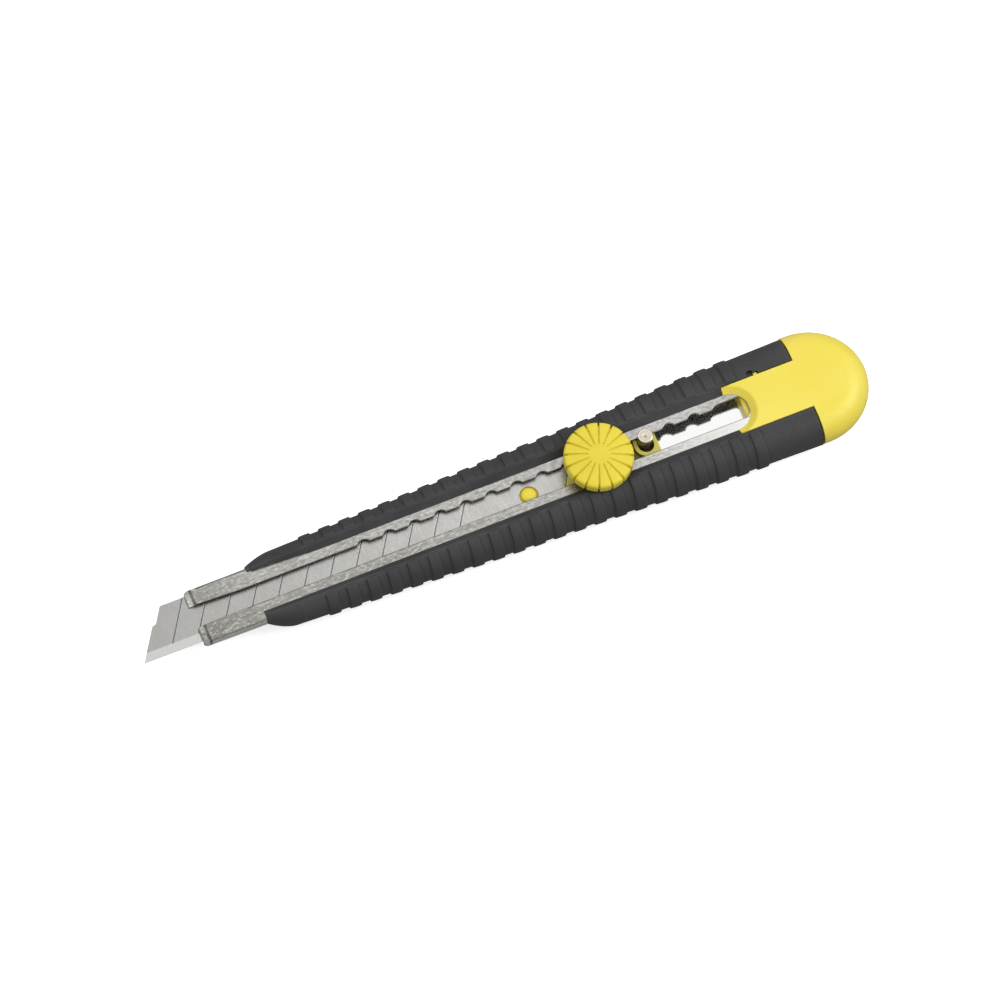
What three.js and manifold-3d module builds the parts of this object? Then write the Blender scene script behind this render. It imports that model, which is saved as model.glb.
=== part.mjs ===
// A 9 mm snap-off knife with a thumbwheel lock.
// Millimetres. +X runs from the blade's tip to the end cap, +Z up out of the slotted face, +Y towards the
// scalloped rail. The origin is in the middle of the length, on the flat back that the knife lies on.
import * as THREE from "three";
import { mergeVertices } from "three/addons/utils/BufferGeometryUtils.js";
import Module from "manifold-3d";

const wasm = await Module();
wasm.setup();

// ---------------------------------------------------------------- driving dimensions
const railTop = 7.4; // top of the channel's rails above the flat back
const topFace = railTop + 1.15; // top of the grips above the flat back
const capEndX = 65.4;

const channel = {
  frontX: -64.2,
  backX: 52,
  halfWidth: 5.3,
  sheet: 0.55,
  height: 3.4,
  bend: 0.7,
  slotHalfWidth: 1.85,
  slotEndX: 42.6,
  noseSlope: 1.5, // the rails' front ends are pressed down over this length
  noseDrop: 0.95,
  sideHeightAtTip: 1.75,
};
const notch = { count: 15, pitch: 4.9, lastX: 37.6, radius: 1.42, depth: 0.64 };
const notchesBehindPin = 3; // notches left behind the index pin, to draw the blade right in

const body = {
  frontX: -52.3,
  shoulderX: -47.2,
  frontHalfWidth: 5.65,
  shoulderHalfWidth: 7.3,
  gripFrontX: -45.5,
  backX: 52.95,
  sideRound: 4.2, // how far the rounded side reaches in from the widest line
  lipHalfGap: 3.58, // the lips leave this much of the rails bare
  grooveHalfWidth: 4.73,
  lipFrontX: { left: -51.4, right: -52.2 }, // where the lips over the +Y and the -Y rail start
  stripEdge: 4.95, // the soft grips start here, right beside the groove
  gripSide: 1.3, // the grips' thickness on the sides and the back
  gripTop: 0.6, // their thickness on the slotted face
  seam: 0.1, // gap between a soft grip and the hard core
  seatClearance: 0.06,
  flatFromX: -12, // the back is flat behind this line and rises in front of it
  noseRise: 1.9,
  noseTipRise: 3, // how much more the back rises in front of the shoulder
};
const rib = { count: 22, pitch: 3.879, width: 1.85, height: 0.32, firstX: -41.05, ramp: 0.25 };

const blade = {
  width: 9,
  thickness: 0.38,
  top: railTop - 1.08,
  centreY: 0.15,
  tipX: -75.3,
  length: 79.85,
  slant: THREE.MathUtils.degToRad(57),
  bevel: 1.7,
  edgeThickness: 0.06,
  segments: 13,
  segmentPitch: 4.965,
  scoreDepth: 0.1,
  scoreWidth: 0.24,
  jogHeight: 6.1, // the snapped front edge steps back at this height above the cutting edge
  jog: 0.7,
  holeX: -0.2,
  holeY: -0.64,
  holeRadius: 1.74,
};

const carriage = {
  frontX: -6,
  backX: 25.05,
  halfWidth: 4.4,
  bottom: railTop - channel.height + channel.sheet + 0.1,
  tongueTop: blade.top - blade.thickness - 0.08,
  deckTop: railTop - 0.4 - channel.sheet + 0.2,
  wellTop: railTop - 1.4,
  pegRadius: 1.4,
  pegTop: railTop - 0.62,
  rearBlockX: 23.2,
};

const wheel = {
  x: 13.32,
  radius: 6.3,
  rimBottom: railTop + 1.75,
  rimTop: railTop + 4.35,
  domeTop: railTop + 4.7,
  hubRadius: 3.25,
  hubBottom: railTop + 0.05,
  eyeRadius: 1.9,
  flutes: 16,
  fluteRadius: 0.42,
};
const clamp = {
  studRadius: 1.5,
  studTop: railTop + 3.2,
  headLength: 5.4,
  headWidth: 8.2,
  headThickness: 0.85,
  gapUnderRail: 0.03,
};
const nut = { outerRadius: 2.25, innerRadius: 1.55, bottom: railTop + 0.35, top: railTop + 3.3 };
const pin = {
  x: notch.lastX - notchesBehindPin * notch.pitch,
  y: channel.slotHalfWidth + notch.depth - notch.radius,
  radius: notch.radius - 0.04,
  top: railTop + 1.9,
  footRadius: 1.75,
  footHeight: 0.6,
  release: 0.7,
};
const spring = { thickness: 0.25, height: 0.55, backX: 24.1, frontX: 17.6 };

const cap = {
  tongueFrontX: 39.2,
  seatX: 53.2,
  domeCentreX: 54.4,
  widest: 0.56, // height of the dome's widest line, as a share of its thickness
  tongueBottom: railTop + 0.06,
  plugFrontX: 41.9,
  tabX: 45.6, // a small catch on the tongue's +Y edge, in a hole of the handle
  tabLength: 0.8,
  tabReach: 5.25,
  snapSlot: { depth: 8, halfWidth: 5.4, low: 1.5, high: 2.3 }, // segments are bent off in this slot
};

const colours = {
  moulding: 0x38373a,
  grip: 0x3f3d40,
  steel: 0xc4c4c0,
  bladeSteel: 0xbcbbb6,
  yellow: 0xf4e25a,
  carriage: 0xdcd060,
  polished: 0xd8d4c8,
  springSteel: 0x9a9a98,
  brass: 0xc9a227,
};

// ---------------------------------------------------------------- geometry helpers
const closed = (geometry) => {
  const bare = geometry.clone();
  bare.deleteAttribute("normal");
  bare.deleteAttribute("uv");
  return mergeVertices(bare, 1e-4);
};

function solid(geometry) {
  const merged = closed(geometry);
  return new wasm.Manifold(
    new wasm.Mesh({
      numProp: 3,
      vertProperties: merged.attributes.position.array,
      triVerts: new Uint32Array(merged.index.array),
    }),
  );
}

function geometryOf(manifold) {
  const mesh = manifold.getMesh();
  const indexed = new THREE.BufferGeometry();
  indexed.setAttribute("position", new THREE.BufferAttribute(mesh.vertProperties, 3));
  indexed.setIndex(new THREE.BufferAttribute(mesh.triVerts, 1));
  const faceted = indexed.toNonIndexed();
  faceted.computeVertexNormals();
  return faceted;
}

const axes = {
  plan: new THREE.Matrix4(), // outline in X and Y, swept along +Z
  section: new THREE.Matrix4().makeBasis(
    new THREE.Vector3(0, 1, 0),
    new THREE.Vector3(0, 0, 1),
    new THREE.Vector3(1, 0, 0),
  ), // outline in Y and Z, swept along +X
  side: new THREE.Matrix4().makeBasis(
    new THREE.Vector3(1, 0, 0),
    new THREE.Vector3(0, 0, 1),
    new THREE.Vector3(0, -1, 0),
  ), // outline in X and Z, swept along -Y
};

// A prism from an outline, given as [a, b] pairs or as a Shape, between two places along its sweep.
function prism(outline, from, to, plane = "plan", curveSegments = 12) {
  const shape = Array.isArray(outline)
    ? new THREE.Shape(outline.map(([a, b]) => new THREE.Vector2(a, b)))
    : outline;
  const geometry = new THREE.ExtrudeGeometry(shape, { depth: to - from, bevelEnabled: false, curveSegments });
  geometry.translate(0, 0, from);
  geometry.applyMatrix4(axes[plane]);
  return solid(geometry);
}

const block = (lowX, highX, lowY, highY, lowZ, highZ) =>
  solid(
    new THREE.BoxGeometry(highX - lowX, highY - lowY, highZ - lowZ).translate(
      (lowX + highX) / 2,
      (lowY + highY) / 2,
      (lowZ + highZ) / 2,
    ),
  );

const post = (x, y, radius, lowZ, highZ, sides = 24) =>
  solid(
    new THREE.CylinderGeometry(radius, radius, highZ - lowZ, sides)
      .rotateX(Math.PI / 2)
      .translate(x, y, (lowZ + highZ) / 2),
  );

// A solid turned about the vertical through x, y, from [radius, height] pairs that start and end on the axis
// or close on themselves.
const turned = (profile, x, y, sides) =>
  solid(
    new THREE.LatheGeometry(
      profile.map(([r, z]) => new THREE.Vector2(r, z)),
      sides,
    )
      .rotateX(Math.PI / 2)
      .translate(x, y, 0),
  );

// A skin over rings that stand at growing x. Each ring is a closed outline of the same number of [y, z]
// pairs, counter-clockwise seen from +X, and every point of it is in plain sight of the ring's middle.
function loft(stations) {
  const count = stations[0].outline.length;
  const middle = ({ x, outline }) => [
    x,
    outline.reduce((sum, [y]) => sum + y, 0) / count,
    outline.reduce((sum, [, z]) => sum + z, 0) / count,
  ];
  const positions = stations.flatMap(({ x, outline }) => outline.flatMap(([y, z]) => [x, y, z]));
  const centres = [stations.length * count, stations.length * count + 1];
  positions.push(...middle(stations[0]), ...middle(stations.at(-1)));
  const index = [];
  for (let i = 0; i < count; i++) {
    const next = (i + 1) % count;
    for (let s = 0; s + 1 < stations.length; s++) {
      const [a, b] = [s * count + i, s * count + next];
      index.push(a, b, b + count, a, b + count, a + count);
    }
    const last = (stations.length - 1) * count;
    index.push(centres[0], next, i, centres[1], last + i, last + next);
  }
  const geometry = new THREE.BufferGeometry();
  geometry.setAttribute("position", new THREE.Float32BufferAttribute(positions, 3));
  geometry.setIndex(index);
  return solid(geometry);
}

const steps = (from, to, count) =>
  Array.from({ length: count + 1 }, (_, i) => from + ((to - from) * i) / count);

// ---------------------------------------------------------------- the handle's outer form
const plan = new THREE.SplineCurve([
  new THREE.Vector2(body.shoulderX, body.shoulderHalfWidth),
  new THREE.Vector2(-28, 7.85),
  new THREE.Vector2(-6, 8.65),
  new THREE.Vector2(10, 9.05),
  new THREE.Vector2(36, 10.15),
  new THREE.Vector2(56, 10.6),
]);
const planPoints = plan.getSpacedPoints(80);

function halfWidthAt(x) {
  if (x < body.shoulderX) {
    const across = (body.shoulderX - x) / (body.shoulderX - body.frontX);
    return body.frontHalfWidth + (body.shoulderHalfWidth - body.frontHalfWidth) * (1 - across ** 1.5);
  }
  const i = Math.max(1, planPoints.findIndex((p) => p.x >= x));
  const [p, q] = [planPoints[i - 1], planPoints[i]];
  return p.y + ((q.y - p.y) * (x - p.x)) / (q.x - p.x);
}

function backAt(x) {
  const rise = (body.noseRise * Math.max(0, body.flatFromX - x)) / (body.flatFromX - body.shoulderX);
  const nose = Math.max(0, body.shoulderX - x) / (body.shoulderX - body.frontX);
  return rise + body.noseTipRise * nose * nose;
}

const lipTopAt = (x) => topFace - 0.7 * Math.max(0, Math.min(1, (body.frontX + 3.4 - x) / 3.4)) ** 2;

// The handle's outline across X, with flat top and back and rounded sides, drawn in by inset.
function section(x, inset, topInset = inset, count = 7) {
  const [top, bottom] = [lipTopAt(x) - topInset, backAt(x) + inset];
  const centreY = halfWidthAt(x) - body.sideRound;
  const side = steps(-Math.PI / 2, Math.PI / 2, count).map((angle) => [
    centreY + (body.sideRound - inset) * Math.cos(angle),
    (top + bottom) / 2 + ((top - bottom) / 2) * Math.sin(angle),
  ]);
  return [...side, ...side.map(([y, z]) => [-y, z]).reverse()];
}

const handleForm = (places, inset, topInset = inset) =>
  loft(places.map((x) => ({ x, outline: section(x, inset, topInset) })));

// The room for the channel inside the handle.
function channelSeat() {
  const half = channel.halfWidth + body.seatClearance;
  const low = railTop - channel.height - body.seatClearance;
  return block(-80, 80, -half, half, low, railTop + body.seatClearance);
}

// The hole that the end cap's catch sits in, and the way out of it, under the grip's skin.
function catchRoom() {
  const [front, back, inner] = [cap.tabX - 1.2, cap.tabX + cap.tabLength + 0.1, 4.6];
  const low = railTop + 0.25;
  return block(front, cap.tabX, inner, 5.85, low, topFace + 1)
    .add(block(front, back, inner, cap.tabReach + 0.1, low, topFace + 1))
    .add(block(cap.tabX, 80, inner, cap.tabReach + 0.1, low, topFace - 0.3));
}

// ---------------------------------------------------------------- the pieces
const sideways = steps(body.gripFrontX, body.backX, 14);

// One soft side grip, for side +1 or -1: a ribbed shell outside the hard core.
function softGrip(side) {
  const stations = [{ x: body.gripFrontX, outline: section(body.gripFrontX, 0) }];
  for (let i = 0; i < rib.count; i++) {
    const start = rib.firstX + i * rib.pitch;
    const end = start + rib.width;
    stations.push({ x: start - rib.ramp, outline: section(start - rib.ramp, 0) });
    stations.push({ x: start, outline: section(start, -rib.height) });
    stations.push({ x: end, outline: section(end, -rib.height) });
    stations.push({ x: end + rib.ramp, outline: section(end + rib.ramp, 0) });
  }
  stations.push({ x: body.backX, outline: section(body.backX, 0) });
  const reach = [side * body.stripEdge, side * 20].sort((a, b) => a - b);
  const inside = handleForm([body.gripFrontX - 1, ...sideways, body.backX + 1], body.gripSide, body.gripTop);
  return loft(stations)
    .subtract(inside)
    .subtract(channelSeat())
    .subtract(catchRoom())
    .intersect(block(-60, 60, ...reach, 0, 20));
}

function handleCore() {
  const lipZ = railTop + body.seatClearance;
  const nosePlaces = [...steps(body.frontX, body.shoulderX, 6), body.gripFrontX - body.seam];
  const nose = handleForm(nosePlaces, 0)
    .subtract(block(-80, body.lipFrontX.left, 0, 20, railTop + 0.1, 20))
    .subtract(block(-80, body.lipFrontX.right, -20, 0.1, railTop + 0.1, 20));
  const stripHalf = body.stripEdge - body.seam;
  const stripRoom = block(-60, 60, -stripHalf, stripHalf, -1, 20);
  const strip = handleForm([body.shoulderX, ...sideways], 0).intersect(stripRoom);
  const groove = prism(
    [
      [body.lipHalfGap, lipZ - 0.2],
      [body.lipHalfGap, lipZ],
      [body.grooveHalfWidth, topFace],
      [body.grooveHalfWidth + 1, topFace + 1],
      [-body.grooveHalfWidth - 1, topFace + 1],
      [-body.grooveHalfWidth, topFace],
      [-body.lipHalfGap, lipZ],
      [-body.lipHalfGap, lipZ - 0.2],
    ],
    -80,
    80,
    "section",
  );
  const tongueHalf = stripHalf + 0.05;
  const tongueSeat = block(cap.tongueFrontX - 0.1, 80, -tongueHalf, tongueHalf, railTop, topFace + 1);
  return nose
    .add(strip)
    .add(handleForm(sideways, body.gripSide + body.seam, body.gripTop + body.seam))
    .subtract(channelSeat())
    .subtract(groove)
    .subtract(tongueSeat)
    .subtract(catchRoom());
}

function slotOutline() {
  const edge = channel.slotHalfWidth;
  const shape = new THREE.Shape();
  shape.moveTo(channel.frontX - 1, -edge - 0.1);
  shape.lineTo(channel.frontX + 10, -edge);
  shape.absarc(channel.slotEndX - 1.2, -edge + 1.2, 1.2, -Math.PI / 2, 0);
  const centreY = edge + notch.depth - notch.radius;
  const reach = Math.sqrt(notch.radius ** 2 - (edge - centreY) ** 2);
  const open = Math.atan2(edge - centreY, reach);
  shape.lineTo(channel.slotEndX, centreY);
  shape.absarc(channel.slotEndX - notch.radius, centreY, notch.radius, 0, Math.PI / 2);
  for (let i = 0; i < notch.count; i++) {
    const x = notch.lastX - i * notch.pitch;
    shape.absarc(x, centreY, notch.radius, i ? open : Math.PI / 2, Math.PI - open);
  }
  shape.lineTo(channel.frontX + 10, edge);
  shape.lineTo(channel.frontX - 1, edge + 0.45);
  return shape;
}

function bladeChannel() {
  const { halfWidth, sheet, height, bend, frontX, backX, noseSlope, noseDrop } = channel;
  const [low, high] = [railTop - height, railTop];
  const outer = [
    [halfWidth - bend, high],
    [-halfWidth + bend, high],
    [-halfWidth + 0.3 * bend, high - 0.3 * bend],
    [-halfWidth, high - bend],
    [-halfWidth, low],
    [halfWidth, low],
    [halfWidth, high - bend],
    [halfWidth - 0.3 * bend, high - 0.3 * bend],
  ];
  const tube = prism(outer, frontX, backX, "section").subtract(
    block(frontX - 1, backX + 1, -halfWidth + sheet, halfWidth - sheet, low + sheet, high - sheet),
  );
  // In front of the handle the sides grow shallower towards the tips, so the floor ends under the lips.
  const underside = [
    [frontX - 1, low - 1],
    [body.frontX + 1.8, low - 1],
    [body.frontX + 1.8, low + sheet / 2],
    [body.frontX, railTop - 2.15],
    [frontX + 6, railTop - 2],
    [frontX - 1, railTop - channel.sideHeightAtTip],
  ];
  const slope = [
    [frontX - 1, high + 1],
    [frontX - 1, high - noseDrop],
    [frontX, high - noseDrop],
    [frontX + noseSlope, high],
    [frontX + noseSlope, high + 1],
  ];
  const pressedEnd = [
    [frontX, high - noseDrop],
    [frontX + 1, high - noseDrop],
    [frontX + 1.7, high - 0.9 * sheet],
    [frontX + 2.4, high - 0.9 * sheet],
    [frontX + 2.4, high],
    [frontX + noseSlope, high],
  ];
  const endHalf = halfWidth - sheet / 2;
  return tube
    .add(prism(pressedEnd, -endHalf, endHalf, "side"))
    .subtract(prism(underside, -8, 8, "side"))
    .subtract(prism(slope, -8, 8, "side"))
    .subtract(prism(slotOutline(), high - sheet - 0.5, high + 1, "plan", 7));
}

function snapBlade() {
  const low = blade.centreY - blade.width / 2;
  const high = blade.centreY + blade.width / 2;
  const bottom = blade.top - blade.thickness;
  const middle = blade.top - blade.thickness / 2;
  const lean = 1 / Math.tan(blade.slant);
  const edge = blade.edgeThickness / 2;
  const cross = [
    [high, blade.top],
    [low + blade.bevel, blade.top],
    [low, middle + edge],
    [low, middle - edge],
    [low + blade.bevel, bottom],
    [high, bottom],
  ];
  const jogY = low + blade.jogHeight;
  const backTop = blade.tipX + blade.width * lean;
  const outline = [
    [blade.tipX, low - 0.01],
    [blade.tipX + blade.length, low - 0.01],
    [blade.tipX + blade.length + blade.width * lean, high],
    [backTop + blade.jog, high],
    [blade.tipX + blade.jogHeight * lean + blade.jog, jogY],
    [blade.tipX + blade.jogHeight * lean, jogY - 0.15],
  ];
  let made = prism(cross, blade.tipX - 1, blade.tipX + blade.length + 10, "section")
    .intersect(prism(outline, bottom - 1, blade.top + 1))
    .subtract(post(blade.holeX, blade.holeY, blade.holeRadius, bottom - 1, blade.top + 1, 48));
  for (let i = 1; i < blade.segments; i++) {
    const x = blade.tipX + i * blade.segmentPitch;
    const half = blade.scoreWidth / 2;
    const groove = prism(
      [
        [x - half + 0.2 * lean, low + 0.2],
        [x + half + 0.2 * lean, low + 0.2],
        [x + half + (blade.width - 0.3) * lean, high - 0.3],
        [x - half + (blade.width - 0.3) * lean, high - 0.3],
      ],
      blade.top - blade.scoreDepth,
      blade.top + 1,
    );
    made = made.subtract(groove);
  }
  return made;
}

function sliderCarriage() {
  const { frontX, backX, halfWidth, bottom, tongueTop, deckTop, wellTop } = carriage;
  const lean = 1 / Math.tan(blade.slant);
  const bladeEnd = (y) => blade.tipX + blade.length + 0.15 + (y - blade.centreY + blade.width / 2) * lean;
  const saddleFront = wheel.x - clamp.headLength / 2 - 0.2;
  const saddleBack = wheel.x + clamp.headLength / 2 + 0.2;
  const tongue = block(frontX, backX, -halfWidth, halfWidth, bottom, tongueTop);
  const deck = prism(
    [
      [bladeEnd(-halfWidth), -halfWidth],
      [saddleFront, -halfWidth],
      [saddleFront, halfWidth - 0.6],
      [bladeEnd(halfWidth - 0.6), halfWidth - 0.6],
    ],
    tongueTop - 0.2,
    deckTop,
  );
  const well = block(saddleBack, backX, -halfWidth, halfWidth, tongueTop - 0.2, wellTop);
  const rear = block(carriage.rearBlockX, backX, -halfWidth, halfWidth, wellTop - 0.2, deckTop);
  const peg = turned(
    [
      [0, tongueTop - 0.2],
      [carriage.pegRadius, tongueTop - 0.2],
      ...steps(0, 0.45 * Math.PI, 7).map((angle) => [
        carriage.pegRadius * Math.cos(angle),
        carriage.pegTop - 0.5 + 0.5 * Math.sin(angle),
      ]),
      [0, carriage.pegTop],
    ],
    blade.holeX,
    blade.holeY + 0.1,
    40,
  );
  const slotAlongY = (radius, low, high) => {
    const [y0, y1] = [pin.y - pin.release, pin.y];
    return post(pin.x, y0, radius, low, high, 40)
      .add(post(pin.x, y1, radius, low, high, 40))
      .add(block(pin.x - radius, pin.x + radius, y0, y1, low, high));
  };
  const collar = slotAlongY(pin.radius + 0.75, tongueTop, deckTop);
  const footRoom = slotAlongY(pin.footRadius + 0.1, bottom - 1, bottom + pin.footHeight + 0.2);
  const pinRoom = slotAlongY(pin.radius + 0.08, bottom - 1, deckTop + 1);
  const saddle = block(saddleFront, saddleBack, -6, 6, bottom + 0.45, deckTop + 1);
  const springRoom = block(spring.frontX, spring.backX + 0.1, -2.6, 0, bottom - 1, bottom + 0.75);
  return tongue
    .add(deck)
    .add(well)
    .add(rear)
    .add(collar)
    .add(peg)
    .subtract(saddle)
    .subtract(footRoom)
    .subtract(pinRoom)
    .subtract(springRoom);
}

function indexPin() {
  const low = carriage.bottom + 0.02;
  return turned(
    [
      [0, low],
      [pin.footRadius, low],
      [pin.footRadius, low + pin.footHeight],
      [pin.radius, low + pin.footHeight + 0.1],
      ...steps(0, Math.PI / 2, 3).map((angle) => [
        pin.radius - 0.14 + 0.14 * Math.cos(angle),
        pin.top - 0.14 + 0.14 * Math.sin(angle),
      ]),
      [0.42, pin.top],
      [0.3, pin.top - 0.1],
      [0, pin.top - 0.1],
    ],
    pin.x,
    pin.y,
    48,
  );
}

// A leaf that lies along the pin's foot and is held in the carriage at its front end.
function indexSpring() {
  const touch = pin.y - pin.footRadius - 0.03;
  const low = carriage.bottom + 0.05;
  const anchored = touch - 0.9;
  const leaf = [
    [spring.frontX + 0.1, anchored],
    [spring.frontX + 1.4, anchored],
    [pin.x - 1.6, touch],
    [spring.backX, touch],
    [spring.backX, touch - spring.thickness],
    [pin.x - 1.6, touch - spring.thickness],
    [spring.frontX + 1.4, anchored - spring.thickness],
    [spring.frontX + 0.1, anchored - spring.thickness],
  ];
  return prism(leaf.reverse(), low, low + spring.height);
}

function lockWheel() {
  const { radius, rimBottom, rimTop, domeTop, hubRadius, hubBottom, eyeRadius } = wheel;
  const boreRadius = nut.outerRadius + 0.02;
  const boreTop = nut.top + 0.1;
  let made = turned(
    [
      [boreRadius, hubBottom],
      [hubRadius, hubBottom],
      [hubRadius, rimBottom],
      [radius - 0.35, rimBottom],
      [radius, rimBottom + 0.35],
      [radius, rimTop - 0.75],
      [radius - 0.3, rimTop - 0.25],
      [radius - 0.9, rimTop],
      [eyeRadius, domeTop],
      [0, domeTop],
      [0, boreTop],
      [boreRadius, boreTop],
      [boreRadius, hubBottom],
    ],
    wheel.x,
    0,
    64,
  );
  const groove = prism(
    [
      [eyeRadius, domeTop + 0.02],
      [radius + 0.5, rimTop - 0.75],
      [radius + 0.5, domeTop + 1],
      [eyeRadius, domeTop + 1],
    ],
    -0.16,
    0.16,
    "side",
  );
  for (let i = 0; i < wheel.flutes; i++) {
    const angle = (360 * i) / wheel.flutes;
    const radians = THREE.MathUtils.degToRad(angle);
    const flute = post(radius + 0.12, 0, wheel.fluteRadius, rimBottom - 1, domeTop + 1, 8).add(groove);
    const turn = new THREE.Matrix4().makeRotationZ(radians).setPosition(wheel.x, 0, 0);
    made = made.subtract(solid(geometryOf(flute).applyMatrix4(turn)));
  }
  return made;
}

const wheelNut = () =>
  turned(
    [
      [nut.innerRadius, nut.bottom],
      [nut.outerRadius, nut.bottom],
      [nut.outerRadius, nut.top],
      [nut.innerRadius, nut.top],
      [nut.innerRadius, nut.bottom],
    ],
    wheel.x,
    0,
    32,
  );

function clampBolt() {
  const headTop = railTop - channel.sheet - clamp.gapUnderRail;
  const head = block(
    wheel.x - clamp.headLength / 2,
    wheel.x + clamp.headLength / 2,
    -clamp.headWidth / 2,
    clamp.headWidth / 2,
    headTop - clamp.headThickness,
    headTop,
  );
  return head.add(post(wheel.x, 0, clamp.studRadius, headTop - 0.2, clamp.studTop, 32));
}

function endCap() {
  const { tongueFrontX, seatX, domeCentreX, widest, tongueBottom, plugFrontX } = cap;
  const { tabX, tabLength, tabReach } = cap;
  const reach = capEndX - domeCentreX;
  const domePlaces = steps(0.15, 0.97, 9).map((t) => domeCentreX + reach * Math.sin((t * Math.PI) / 2));
  const dome = [seatX, domeCentreX, ...domePlaces].map((x) => {
    const across = Math.max(0, (x - domeCentreX) / reach);
    const shrink = Math.sqrt(1 - across * across);
    const crown = Math.sqrt(1 - Math.max(0, across) ** 6);
    const halfWidth = halfWidthAt(Math.min(x, domeCentreX)) * shrink;
    const reachIn = Math.min(body.sideRound, halfWidth);
    const arc = steps(-Math.PI / 2, Math.PI / 2, 8).map((angle) => [
      halfWidth - reachIn + 0.01 + reachIn * Math.cos(angle),
      topFace * (widest + (angle > 0 ? 1 - widest : widest) * crown * Math.sin(angle)),
    ]);
    return { x, outline: [...arc, ...arc.map(([y, z]) => [-y, z]).reverse()] };
  });
  const tongueHalf = body.grooveHalfWidth;
  const tongue = block(tongueFrontX, seatX + 1, -tongueHalf, tongueHalf, tongueBottom, topFace);
  // A half-round recess with a sloping wall lets the thumbwheel's screw and pin come right back.
  const recess = solid(
    new THREE.CylinderGeometry(
      tongueHalf + 0.02,
      body.lipHalfGap - 0.08,
      topFace - tongueBottom + 0.2,
      40,
    )
      .rotateX(Math.PI / 2)
      .translate(tongueFrontX, 0, (topFace + tongueBottom) / 2),
  );
  const inner = channel.halfWidth - channel.sheet - 0.1;
  const floor = railTop - channel.height + channel.sheet + 0.1;
  const plug = block(plugFrontX, seatX + 1, -inner, inner, floor, railTop - channel.sheet - 0.1);
  const tab = block(tabX, tabX + tabLength, 4.6, tabReach, railTop + 0.35, topFace - 0.38);
  const { depth, halfWidth, low, high } = cap.snapSlot;
  const snapSlot = block(seatX - 1, seatX + depth, -halfWidth, halfWidth, low, high);
  return loft(dome).subtract(snapSlot).add(tongue).subtract(recess).add(plug).add(tab);
}

// ---------------------------------------------------------------- materials and assembly
const finish = (color, roughness, metalness) => new THREE.MeshStandardMaterial({ color, roughness, metalness });

const knife = new THREE.Group();
const place = (name, manifold, material) => {
  const mesh = new THREE.Mesh(geometryOf(manifold), material);
  mesh.name = name;
  knife.add(mesh);
  return mesh;
};

place("handle_core", handleCore(), finish(colours.moulding, 0.5, 0));
place("grip_left", softGrip(1), finish(colours.grip, 0.75, 0));
place("grip_right", softGrip(-1), finish(colours.grip, 0.75, 0));
place("blade_channel", bladeChannel(), finish(colours.steel, 0.3, 1));
place("end_cap", endCap(), finish(colours.yellow, 0.35, 0));
place("snap_blade", snapBlade(), finish(colours.bladeSteel, 0.3, 1));
place("slider_carriage", sliderCarriage(), finish(colours.carriage, 0.45, 0));
place("index_pin", indexPin(), finish(colours.polished, 0.15, 1));
place("index_spring", indexSpring(), finish(colours.springSteel, 0.35, 1));
place("lock_wheel", lockWheel(), finish(colours.yellow, 0.35, 0));
place("wheel_nut", wheelNut(), finish(colours.brass, 0.3, 1));
place("clamp_bolt", clampBolt(), finish(colours.steel, 0.3, 1));

export default knife;
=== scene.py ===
"""A 9 mm snap-off knife with a thumbwheel lock, lying on its back on a pale floor.

Shapes are worked out in millimetres in the CAD frame: +X from the blade's tip to the end cap, +Y towards
the scalloped rail, +Z up out of the slotted face. Meshes are scaled to metres when they become pieces.
"""
import math

import bpy
import numpy as np
from mathutils import Matrix, Vector


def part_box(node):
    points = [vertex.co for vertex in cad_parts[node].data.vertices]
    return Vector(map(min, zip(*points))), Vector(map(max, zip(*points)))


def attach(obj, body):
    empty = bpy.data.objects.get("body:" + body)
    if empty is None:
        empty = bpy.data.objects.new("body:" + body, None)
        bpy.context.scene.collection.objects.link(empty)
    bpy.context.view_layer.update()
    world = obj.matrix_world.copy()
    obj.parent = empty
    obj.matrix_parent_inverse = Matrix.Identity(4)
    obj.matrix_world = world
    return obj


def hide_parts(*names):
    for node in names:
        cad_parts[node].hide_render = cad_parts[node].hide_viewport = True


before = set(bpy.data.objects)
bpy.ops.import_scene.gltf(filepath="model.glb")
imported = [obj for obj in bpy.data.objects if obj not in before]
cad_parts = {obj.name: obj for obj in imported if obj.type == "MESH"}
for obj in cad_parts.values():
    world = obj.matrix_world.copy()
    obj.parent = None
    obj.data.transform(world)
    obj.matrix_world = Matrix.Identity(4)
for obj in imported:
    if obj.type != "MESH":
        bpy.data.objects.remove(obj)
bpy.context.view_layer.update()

MM = 0.001


# ---------------------------------------------------------------- places taken from the frame
def span(node):
    """Lowest and highest corner of a CAD node, in millimetres."""
    low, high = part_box(node)
    return np.array(low) / MM, np.array(high) / MM


channel_low, channel_high = span("blade_channel")
core_low, core_high = span("handle_core")
grip_low, grip_high = span("grip_left")
cap_low, cap_high = span("end_cap")
wheel_low, wheel_high = span("lock_wheel")
blade_low, blade_high = span("snap_blade")
pin_low, pin_high = span("index_pin")
nut_low, nut_high = span("wheel_nut")

RAIL_TOP = channel_high[2]
CHANNEL_HALF = channel_high[1]
TOP_FACE = core_high[2]
NOSE_X = core_low[0]
BODY_BACK_X = core_high[0]
GRIP_FRONT_X = grip_low[0]
GRIP_INNER_Y = grip_low[1]
RIB_HEIGHT = grip_high[2] - TOP_FACE
CAP_END_X = cap_high[0]
CAP_HALF_WIDTH = cap_high[1]
TONGUE_FRONT_X = cap_low[0]
WHEEL_X = (wheel_low[0] + wheel_high[0]) / 2
PIN_X = (pin_low[0] + pin_high[0]) / 2
PIN_Y = (pin_low[1] + pin_high[1]) / 2

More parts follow.
